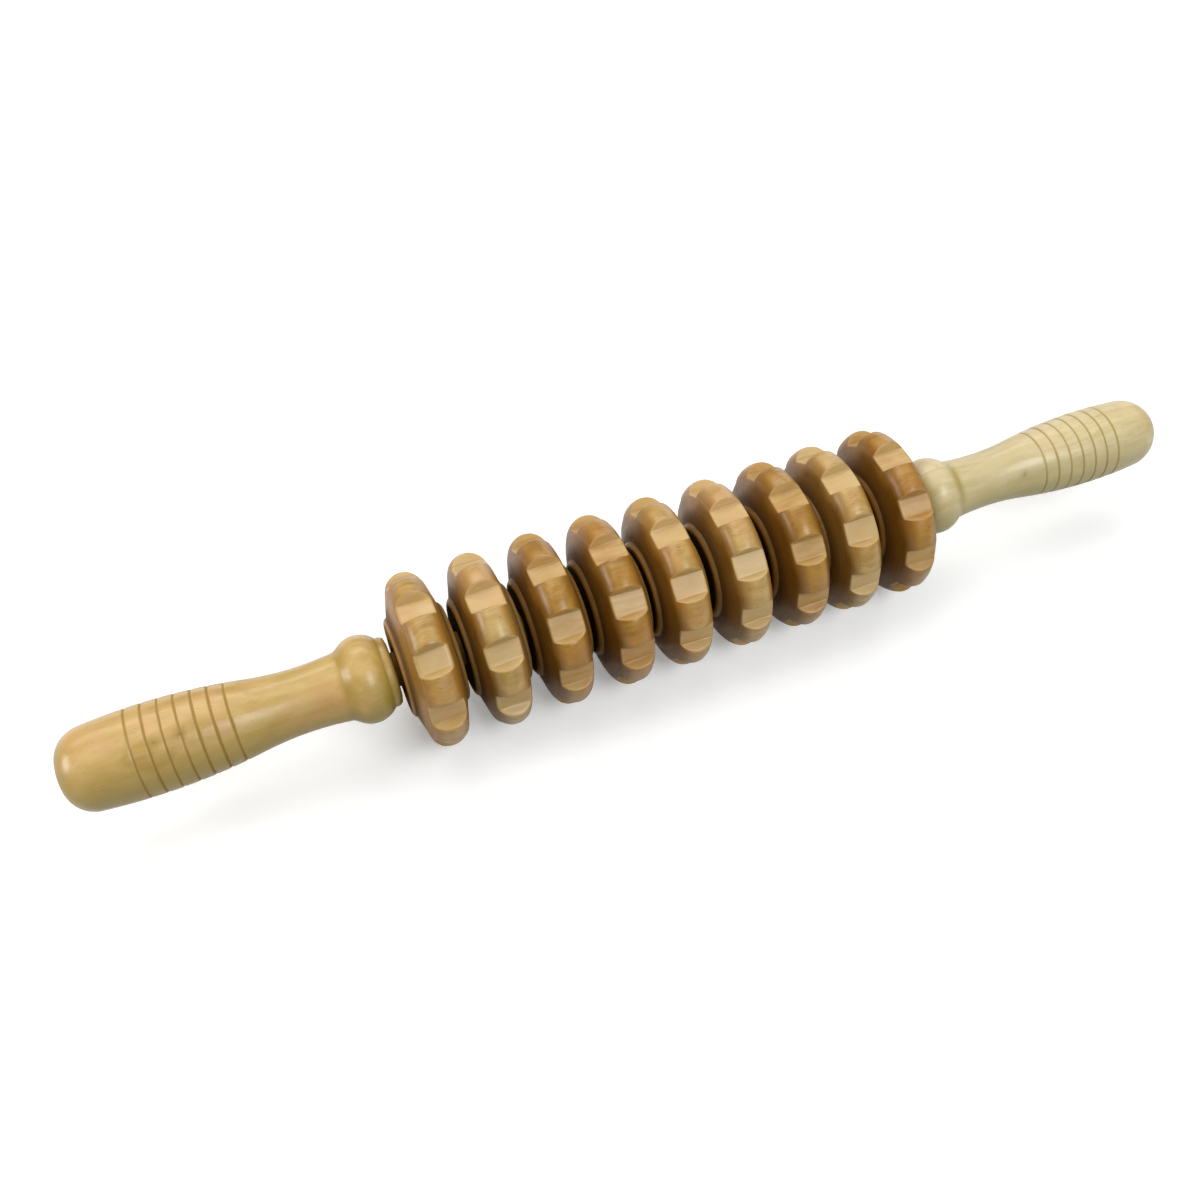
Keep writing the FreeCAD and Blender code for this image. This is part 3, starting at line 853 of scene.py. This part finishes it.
rng = np.random.default_rng(SEED)
bare_wood = wood("bare_wood", BARE_TONES, rng, BARE, 1.8 * MM)
for handle, towards, tones in (("left_handle", 1, LEFT_TONES), ("right_handle", -1, RIGHT_TONES)):
    varnished = wood(handle + "_wood", tones, rng, VARNISHED, 2.6 * MM, knot_spots(handle))
    make_handle(handle, towards, (varnished, bare_wood), rng)

wheel_slots = {item["node"]: item["material_slot"] for item in frame["record"]["subparts"]}
for wheel in WHEELS:
    slot = wheel_slots["wheel_%d" % wheel]
    varnished = wood("wheel_%d_wood" % wheel, WHEEL_TONES[slot], rng, VARNISHED, 2.1 * MM)
    make_wheel(wheel, (varnished, bare_wood), rng)

dowel = frame["nodes"]["axle_dowel"]
dowel.data.materials.clear()
dowel.data.materials.append(bare_wood)

# ---------------------------------------------------------------- studio

FLOOR_SIZE = 16.0
FLOOR_DROP = 0.2 * MM
FLOOR_BOUNCE = colour(0.19, 0.165, 0.08)
FLOOR_GLOW = 0.25
GLOW_RISES_FROM = 0.6
GLOW_RISES_TO = 2.6
HORIZON = 0.85

SKY_UP = (0.0, 0.75, 0.66)
SKY_DARKEST = 0.002
SKY_BRIGHTEST = 0.01

CAMERA_PLACE = (-0.11737, -0.24124, 0.36627)
CAMERA_TARGET = (-0.02094, 0.00082, 0.00053)
LENS_MM = 38.253
SENSOR_MM = 36.0

# name, place, point it is aimed at, width, height, watts, tint
SOFTBOXES = (
    ("overhead_softbox", (-0.25, 0.45, 1.6), (0, 0, 0), 1.2, 0.8, 7.2, (1.0, 0.985, 0.97)),
    ("back_softbox", (0.1, 1.25, 1.15), (0, 0, 0), 1.8, 0.5, 12.0, (1.0, 0.99, 0.97)),
    ("right_softbox", (0.9, 0.35, 1.3), (0, 0, 0), 1.0, 1.0, 3.4, (1.0, 0.99, 0.97)),
    ("left_softbox", (-0.75, -0.05, 1.25), (0, 0, 0), 0.45, 0.45, 1.0, (1.0, 0.95, 0.90)),
    ("low_left_softbox", (-1.0, 0.15, 0.35), (0, 0, 0), 0.4, 0.4, 4.9, (1.0, 0.98, 0.96)),
    ("front_softbox", (0.4, -0.85, 1.24), (0, 0, 0), 0.8, 0.7, 13.2, (0.95, 0.98, 0.99)),
    ("low_right_softbox", (0.9, -0.6, 0.6), (0, 0, 0), 0.6, 0.6, 0.9, (1.0, 1.0, 1.0)),
    ("low_front_softbox", (0.15, -1.0, 0.45), (0, 0, 0), 0.8, 0.4, 1.2, (1.0, 1.0, 0.98)),
    ("low_back_softbox", (1.05, 1.2, 0.24), (0.19, 0, 0), 0.8, 0.35, 2.0, (1.0, 1.0, 1.0)),
)


def make_floor():
    """Pale floor that the camera sees fade into the horizon."""
    shader = Shader(bpy.data.materials.new("floor_paint"))
    place = shader.node("ShaderNodeTexCoord").outputs["Object"]
    pale, paler = colour(0.93, 0.93, 0.93), colour(0.95, 0.95, 0.95)
    tone = shader.mix(shader.noise(place, 3.0), pale, paler)
    rays = shader.node("ShaderNodeLightPath").outputs
    tone = shader.mix(rays["Is Diffuse Ray"], tone, FLOOR_BOUNCE)
    away = shader.vector_maths("LENGTH", place)
    glow = shader.step(away, GLOW_RISES_FROM, GLOW_RISES_TO, FLOOR_GLOW, HORIZON)
    paint = shader.node("ShaderNodeBsdfPrincipled", {
        "Base Color": tone, "Roughness": 0.9, "Emission Color": colour(1, 1, 1),
        "Emission Strength": shader.maths("MULTIPLY", rays["Is Camera Ray"], glow),
    })
    half = FLOOR_SIZE / 2
    height = cad_box[0].z - FLOOR_DROP
    square = ((-half, -half), (half, -half), (half, half), (-half, half))
    corners = [(x, y, height) for x, y in square]
    mesh = bpy.data.meshes.new("studio_floor")
    mesh.from_pydata(corners, [], [(0, 1, 2, 3)])
    mesh.materials.append(shader.finish(paint))
    floor = bpy.data.objects.new("studio_floor", mesh)
    bpy.context.scene.collection.objects.link(floor)


def aim(item, target):
    direction = Vector(target) - item.location
    item.rotation_mode = "QUATERNION"
    item.rotation_quaternion = direction.to_track_quat("-Z", "Y")


def make_light(name, place, target, width, height, power, tint):
    lamp = bpy.data.lights.new(name, "AREA")
    lamp.shape = "RECTANGLE"
    lamp.size = width
    lamp.size_y = height
    lamp.energy = power
    lamp.color = tint
    light = bpy.data.objects.new(name, lamp)
    light.location = place
    light.visible_camera = False
    aim(light, target)
    bpy.context.scene.collection.objects.link(light)


def make_sky():
    """Faint light from above and behind, with an even pale tone past the floor's edge."""
    shader = Shader(bpy.data.worlds.new("studio_air"))
    place = shader.node("ShaderNodeTexCoord").outputs["Generated"]
    along = shader.vector_maths("DOT_PRODUCT", place, SKY_UP)
    glow = shader.map_range(along, -0.7, 0.9, SKY_DARKEST, SKY_BRIGHTEST)
    seen = shader.node("ShaderNodeLightPath").outputs["Is Camera Ray"]
    strength = shader.node("ShaderNodeMix", {"Factor": seen, "A": glow, "B": HORIZON})
    background = shader.node("ShaderNodeBackground", {
        "Color": colour(1, 1, 1), "Strength": strength.outputs["Result"],
    })
    bpy.context.scene.world = shader.finish(background, "ShaderNodeOutputWorld")


def make_camera():
    lens = bpy.data.cameras.new("studio_camera")
    lens.sensor_width = SENSOR_MM
    lens.lens = LENS_MM
    lens.clip_start = 0.02
    lens.clip_end = 20.0
    camera = bpy.data.objects.new("studio_camera", lens)
    camera.location = CAMERA_PLACE
    aim(camera, CAMERA_TARGET)
    bpy.context.scene.collection.objects.link(camera)
    bpy.context.scene.camera = camera


make_floor()
for softbox in SOFTBOXES:
    make_light(*softbox)
make_sky()
make_camera()
bpy.context.scene.view_settings.view_transform = "Standard"
